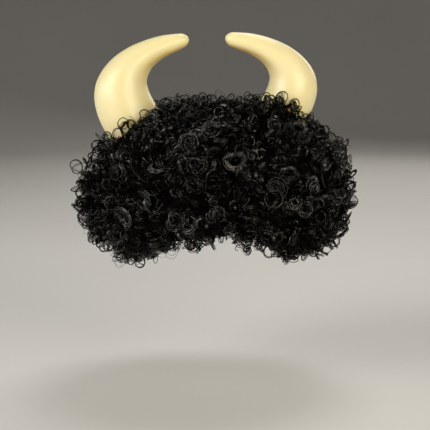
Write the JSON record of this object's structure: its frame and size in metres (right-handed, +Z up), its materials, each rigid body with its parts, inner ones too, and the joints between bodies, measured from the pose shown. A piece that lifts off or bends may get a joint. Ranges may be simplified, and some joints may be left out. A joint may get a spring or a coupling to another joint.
{
  "type": "horned curly costume wig",
  "caption": "Full curly costume wig on a stretch cap, with a pair of smooth horns that curve up and in, worn over the head.",
  "frame": {"origin": "top of the head space, on the inside of the cap, where the wig rests on the top of the head", "axes": "+Z up, the face opening looks along -Y, +X towards the horn on the right as seen from the front"},
  "size_m": [0.3098, 0.2999, 0.2544],
  "materials": {
    "hair": "black synthetic curls with soft glints",
    "cap_net": "matt black stretch net",
    "horn": "cream satin, moulded"
  },
  "bodies": {
    "root": {"wig_cap": "cap_net", "hair_crown": "hair", "hair_fringe": "hair", "hair_left": "hair", "hair_right": "hair", "hair_back": "hair", "horn_left": "horn", "horn_right": "horn"}
  },
  "joints": []
}
